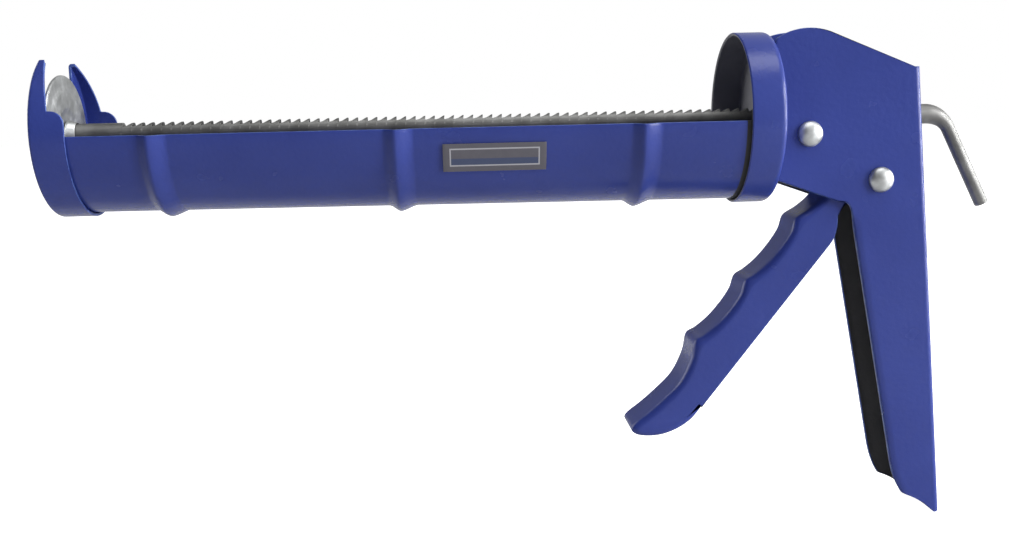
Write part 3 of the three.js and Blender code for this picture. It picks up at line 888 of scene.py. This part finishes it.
def make_catch(steel):
    """The leaf that holds the rod while the pawl goes back, curved up to its tip."""
    spine = smooth_line([(269.85, -16.0), (269.45, -9.6), (268.4, -7.2), (266.1, -5.5), (263.6, -4.5)], 8)
    across = np.linspace(-4, 4, 18)
    grid = np.array([[(x, y, z) for y in across] for x, z in spine])
    tip_rows = 5
    grid[-tip_rows:, :, 1] *= np.linspace(1, 0.86, tip_rows)[:, None]
    form = sheet(grid, inner_face(grid, 0.55), edge=0.12)
    piece = mesh_object("holding_leaf", form, [steel])
    place(piece, "holding_catch", "frame", "spring_steel")


def make_return_spring(steel):
    """A tension coil beside the rod, hooked on the guide rivet and in the lever's web."""
    side_y = -5.6
    top = np.array((GUIDE[0], side_y, GUIDE[1]))
    bottom = np.array((SPRING_EYE[0], side_y, SPRING_EYE[1]))
    axis = unit(bottom - top)
    side = np.array((0.0, 1.0, 0.0))
    third = np.cross(axis, side)
    hook, coil, turns, first, last = 2.65, 1.85, 10, 4.6, 13.6
    points = []
    for angle in np.radians(np.linspace(261, 66, 14)):
        points.append(top - axis * hook * math.sin(angle - math.pi / 2)
                      + third * hook * math.cos(angle - math.pi / 2))
    for share in np.linspace(0, 1, turns * 20 + 1):
        angle = 2 * math.pi * turns * share
        points.append(top + axis * (first + (last - first) * share)
                      + side * coil * math.sin(angle) + third * coil * math.cos(angle))
    points.append(bottom - axis * 2.2 + third * 0.6)
    points.append(bottom - axis * 0.4)
    line = resample(smooth_line(points, 3), 460)
    piece = mesh_object("return_coil", wire(line, 0.4), [steel])
    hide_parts("return_spring")
    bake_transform(piece)


def make_pawl(steel):
    low, high = span("pawl")
    tip = (250.6, -3.9)
    lobe = arc(PAWL, 3.8, 214, 464, 30)
    outline = [*rounded([tip, (tip[0] - 1.2, tip[1] - 0.7), (tip[0] - 1.0, tip[1] - 2.4), lobe[0]],
                        0.25, 3, closed=False),
               *lobe[1:], (tip[0] + 3.2, tip[1] - 1.2)]
    piece = mesh_object("pawl_lever", slab(outline, low[1], high[1]), [steel])
    drill(piece, pin_hole(*PAWL, 2.15, 20))
    place(piece, "pawl", "pawl", "hard_steel")


def make_pawl_spring(steel):
    """A torsion spring on the pawl's pin: one leg on the lever's web, the coil beside the pawl."""
    coil, turns, first, last = 3.1, 4, -6.9, -4.1
    points = [(PAWL[0] - 13, first, PAWL[1] - 9.2), (PAWL[0] - 8, first, PAWL[1] - 5.6)]
    for share in np.linspace(0, 1, turns * 24 + 1):
        angle = math.pi * 1.15 + 2 * math.pi * turns * share
        points.append((PAWL[0] + coil * math.cos(angle), first + (last - first) * share,
                       PAWL[1] + coil * math.sin(angle)))
    line = resample(smooth_line(points, 3), 260)
    piece = mesh_object("pawl_torsion", wire(line, 0.35), [steel])
    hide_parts("pawl_spring")
    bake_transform(piece)


# ---------------------------------------------------------------- studio
def make_camera():
    """A camera beside the barrel's middle, a little nose down and turned towards the handle."""
    yaw, pitch, roll = (math.radians(a) for a in (-2.41, -8.25, 1.35))
    turn = Matrix.Rotation(yaw, 3, "Z") @ Matrix.Rotation(pitch, 3, "X") @ Matrix.Rotation(roll, 3, "Y")
    right, forward, up = turn.col
    data = bpy.data.cameras.new("camera")
    data.sensor_width = 36.0
    data.lens = 38.44
    camera = bpy.data.objects.new("camera", data)
    pose = Matrix((right, up, -forward)).transposed().to_4x4()
    pose.translation = Vector((0.1240, -0.3473, 0.0035))
    camera.matrix_world = pose
    bpy.context.scene.collection.objects.link(camera)
    bpy.context.scene.camera = camera


def area_light(name, at, aim, size, power):
    data = bpy.data.lights.new(name, "AREA")
    data.shape = "RECTANGLE"
    data.size, data.size_y = size
    data.energy = power
    lamp = bpy.data.objects.new(name, data)
    lamp.location = at
    lamp.rotation_euler = (Vector(aim) - Vector(at)).to_track_quat("-Z", "Y").to_euler()
    bpy.context.scene.collection.objects.link(lamp)


def make_studio():
    """A pale floor under the foot of the handle, with lights on the right, above and behind.

    The floor is brighter to the camera than the light that it gives back."""
    look = Look("studio_floor")
    seen = look.node("ShaderNodeLightPath").outputs["Is Camera Ray"]
    look.set(Base_Color=look.mix(look.noise(3), (0.60, 0.60, 0.60, 1), (0.62, 0.62, 0.62, 1)))
    look.set(Roughness=0.9, Specular_IOR_Level=0.1, Emission_Strength=look.math("MULTIPLY", seen, 0.95))
    look.set(Emission_Color=(1, 1, 1, 1))
    reach, level = 6.0, CAD_BOX[0][2] - 0.0005
    floor = bpy.data.meshes.new("floor")
    corners = [(-reach, -reach), (reach, -reach), (reach, reach), (-reach, reach)]
    floor.from_pydata([(x, y, level) for x, y in corners], [], [(0, 1, 2, 3)])
    floor.materials.append(look.material)
    thing = bpy.data.objects.new("floor", floor)
    bpy.context.scene.collection.objects.link(thing)

    make_world()
    area_light("key", (1.15, -0.62, 0.30), (0.18, 0, -0.03), (0.30, 0.75), 12.0)
    area_light("strip", (1.25, -0.10, 0.0), (0.22, 0, -0.03), (0.07, 1.1), 20.0)
    area_light("top", (0.35, -0.35, 1.2), (0.14, 0, 0), (1.1, 0.5), 9.0)
    area_light("back_left", (-0.8, 0.6, 0.1), (0.2, 0, -0.06), (1.3, 1.1), 12.0)
    bpy.context.scene.view_settings.view_transform = "Standard"


def make_world():
    """White to the camera; the light that reaches the object comes mostly from the right."""
    world = bpy.data.worlds.new("studio")
    world.use_nodes = True
    nodes, links = world.node_tree.nodes, world.node_tree.links

    def add(kind, **inputs):
        made = nodes.new(kind)
        for key, value in inputs.items():
            socket = made.inputs[key.replace("_", " ")]
            if isinstance(value, bpy.types.NodeSocket):
                links.new(value, socket)
            else:
                socket.default_value = value
        return made

    split = add("ShaderNodeSeparateXYZ", Vector=nodes.new("ShaderNodeTexCoord").outputs["Generated"])
    side = add("ShaderNodeMapRange", Value=split.outputs["X"], From_Min=-0.6, From_Max=0.9,
               To_Min=0.04, To_Max=0.86)
    seen = add("ShaderNodeMapRange", Value=nodes.new("ShaderNodeLightPath").outputs["Is Camera Ray"],
               From_Min=0.0, From_Max=1.0, To_Min=side.outputs["Result"], To_Max=1.0)
    background = nodes["Background"]
    background.inputs["Color"].default_value = (1, 1, 1, 1)
    links.new(seen.outputs["Result"], background.inputs["Strength"])
    bpy.context.scene.world = world


# ---------------------------------------------------------------- everything
def build():
    make_camera()
    paint, zinc = blue_paint(), zinc_rod()
    # Painted shade on the inner faces of the handle and the lever.
    dark = painted_shade_material("channel_painted_shade", 0.06)
    plated = metal("plated_steel", (0.34, 0.35, 0.35, 1), (0.80, 0.82, 0.83, 1), (0.38, 0.52))
    spring = metal("spring_steel", (0.05, 0.05, 0.055, 1), (0.26, 0.26, 0.27, 1), (0.25, 0.42))
    hard = metal("hard_steel", (0.07, 0.07, 0.075, 1), (0.30, 0.30, 0.31, 1), (0.32, 0.5),
                 grain=(1, 0.1, 1))
    # The cradle's second material is a painted shadow in the gap at the cup's mouth.
    make_cradle(paint, painted_shade_material("seam_painted_shadow", 0.009))
    make_front_cap(paint)
    # Painted shade inside the cup and a painted shadow on its lip.
    make_rear_cup(paint, painted_shade_material("cup_painted_shade", 0.17))
    make_label(label_film())
    make_handle(paint, dark)
    make_trigger(paint, dark)
    make_rod(zinc)
    make_plunger(plated)
    make_rivet("guide_rivet", 1.9, plated)
    make_rivet("pivot_rivet", 2.5, plated)
    for node, ease in (("pivot_bush", 0.35), ("pivot_washer_near", 0.2), ("pivot_washer_far", 0.2)):
        make_ring(node, "frame", plated, ease, bore=HOLE["pivot"])
    make_ring("pawl_spacer", "trigger", plated, 0.3, bore=HOLE["pawl"])
    make_ring("pawl_pin", "trigger", plated, 0.3)
    make_catch(spring)
    make_return_spring(spring)
    make_pawl_spring(spring)
    make_pawl(hard)
    make_studio()


build()
